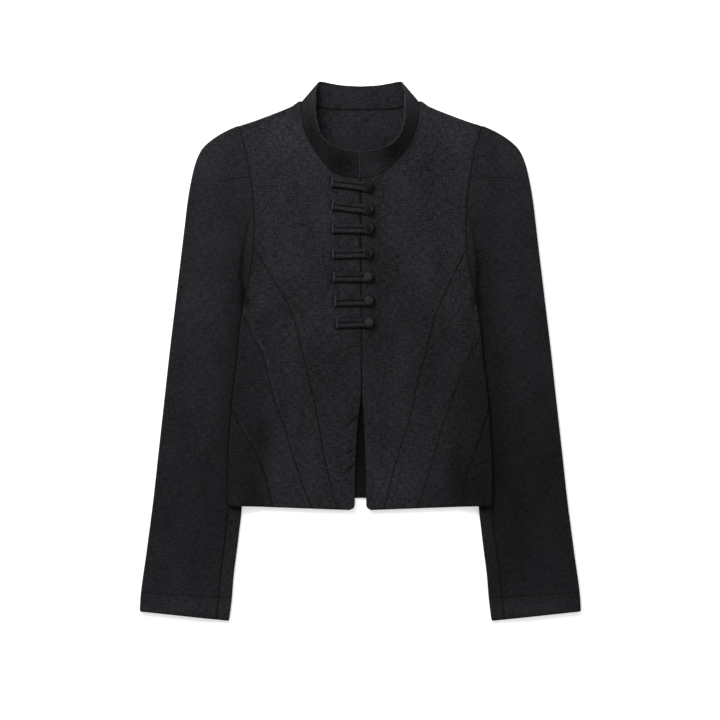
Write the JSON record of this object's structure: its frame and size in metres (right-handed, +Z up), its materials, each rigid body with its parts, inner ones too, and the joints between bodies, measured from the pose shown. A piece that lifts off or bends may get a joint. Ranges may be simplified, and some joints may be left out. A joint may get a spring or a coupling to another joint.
{
  "type": "cropped stand-collar blazer",
  "caption": "Cropped linen jacket laid flat, with a stand collar, curved princess seams, long set-in sleeves and a front closed by cord loops over covered buttons.",
  "frame": {"origin": "centre of the plan outline, on the surface that the jacket lies on", "axes": "+X to the right of the picture, which is the wearer's left; +Y up the garment from the cuffs to the collar; +Z up from the surface, out of the front"},
  "size_m": [0.594, 0.7249, 0.03],
  "materials": {
    "body_linen": "matte plain-weave linen, black faded to charcoal",
    "sleeve_linen": "matte plain-weave linen, black faded to charcoal",
    "collar_linen": "matte plain-weave linen, black faded to charcoal",
    "loop_cord": "matte linen-covered cord",
    "button_cloth": "matte linen over a domed button",
    "label_satin": "plain charcoal woven tape with a faint sheen"
  },
  "bodies": {
    "root": {"back": "body_linen", "centre_front_left": "body_linen", "side_front_left": "body_linen", "side_panel_left": "body_linen", "top_sleeve_left": "sleeve_linen", "under_sleeve_left": "sleeve_linen", "centre_front_right": "body_linen", "side_front_right": "body_linen", "side_panel_right": "body_linen", "top_sleeve_right": "sleeve_linen", "under_sleeve_right": "sleeve_linen", "stand_collar": "collar_linen", "loop_1": "loop_cord", "button_1": "button_cloth", "loop_2": "loop_cord", "button_2": "button_cloth", "loop_3": "loop_cord", "button_3": "button_cloth", "loop_4": "loop_cord", "button_4": "button_cloth", "loop_5": "loop_cord", "button_5": "button_cloth", "loop_6": "loop_cord", "button_6": "button_cloth", "loop_7": "loop_cord", "button_7": "button_cloth", "neck_label": "label_satin"}
  },
  "joints": []
}
